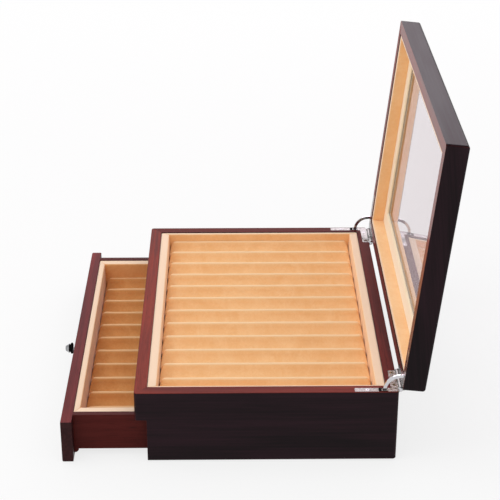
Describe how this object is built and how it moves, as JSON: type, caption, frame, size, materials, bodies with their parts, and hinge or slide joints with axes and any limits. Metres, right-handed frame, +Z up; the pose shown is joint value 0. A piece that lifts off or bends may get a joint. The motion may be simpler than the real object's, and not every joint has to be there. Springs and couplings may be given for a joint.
{
  "type": "pen collector chest",
  "caption": "Lacquered collector chest for pens: a glazed lid on quadrant hinges opens over a grooved, fabric-lined tray, and a drawer below holds another grooved bed.",
  "frame": {"origin": "centre of the case's footprint, on the table under the base felt", "axes": "+X along the lid hinges, towards the right hand of someone who faces the drawer; -Y out of the drawer front; +Y towards the hinges; +Z up"},
  "size_m": [0.309, 0.324, 0.2738],
  "materials": {
    "lacquered_wood": "dark red-brown lacquer, satin gloss",
    "tray_suede": "beige suede-like fabric",
    "drawer_suede": "beige suede-like fabric",
    "lid_suede": "beige suede-like fabric",
    "felt": "dark felt",
    "glass": "clear polished sheet",
    "chrome": "polished"
  },
  "bodies": {
    "case": {"case_right": "lacquered_wood", "case_left": "lacquered_wood", "case_back": "lacquered_wood", "case_apron": "lacquered_wood", "case_bottom": "lacquered_wood", "case_shelf": "lacquered_wood", "base_felt": "felt", "tray_liner_front": "tray_suede", "tray_liner_right": "tray_suede", "tray_liner_back": "tray_suede", "tray_liner_left": "tray_suede", "tray_bed": "tray_suede", "case_leaf_right": "chrome", "case_leaf_left": "chrome", "hinge_pin_right": "chrome", "hinge_pin_left": "chrome"},
    "lid": {"lid_right": "lacquered_wood", "lid_left": "lacquered_wood", "lid_back": "lacquered_wood", "lid_front": "lacquered_wood", "lid_window_frame": "lacquered_wood", "lid_glass": "glass", "window_trim": "lid_suede", "lid_liner_front": "lid_suede", "lid_liner_right": "lid_suede", "lid_liner_back": "lid_suede", "lid_liner_left": "lid_suede", "lid_leaf_right": "chrome", "lid_leaf_left": "chrome"},
    "drawer": {"drawer_front": "lacquered_wood", "drawer_side_right": "lacquered_wood", "drawer_side_left": "lacquered_wood", "drawer_back": "lacquered_wood", "drawer_bottom": "lacquered_wood", "drawer_bead": "lacquered_wood", "drawer_liner_front": "drawer_suede", "drawer_liner_right": "drawer_suede", "drawer_liner_back": "drawer_suede", "drawer_liner_left": "drawer_suede", "drawer_bed": "drawer_suede", "drawer_knob": "chrome"},
    "stay_right": {"stay_right": "chrome"},
    "stay_left": {"stay_left": "chrome"}
  },
  "joints": [
    {"name": "lid_hinge", "type": "hinge", "parent": "case", "child": "lid", "pos_m": [0, 0.1066, 0.0634], "axis": [1, 0, 0], "range_deg": [0, 96]},
    {"name": "stay_right_hinge", "type": "hinge", "parent": "case", "child": "stay_right", "pos_m": [0, 0.1066, 0.0634], "axis": [1, 0, 0], "range_deg": [0, 48]},
    {"name": "stay_left_hinge", "type": "hinge", "parent": "case", "child": "stay_left", "pos_m": [0, 0.1066, 0.0634], "axis": [1, 0, 0], "range_deg": [0, 48]},
    {"name": "drawer_slide", "type": "slide", "parent": "case", "child": "drawer", "axis": [0, -1, 0], "range_m": [-0.0595, 0.08]}
  ],
  "couplings": [
    {"joint": "stay_right_hinge", "follows": "lid_hinge", "ratio": 0.5},
    {"joint": "stay_left_hinge", "follows": "lid_hinge", "ratio": 0.5}
  ]
}
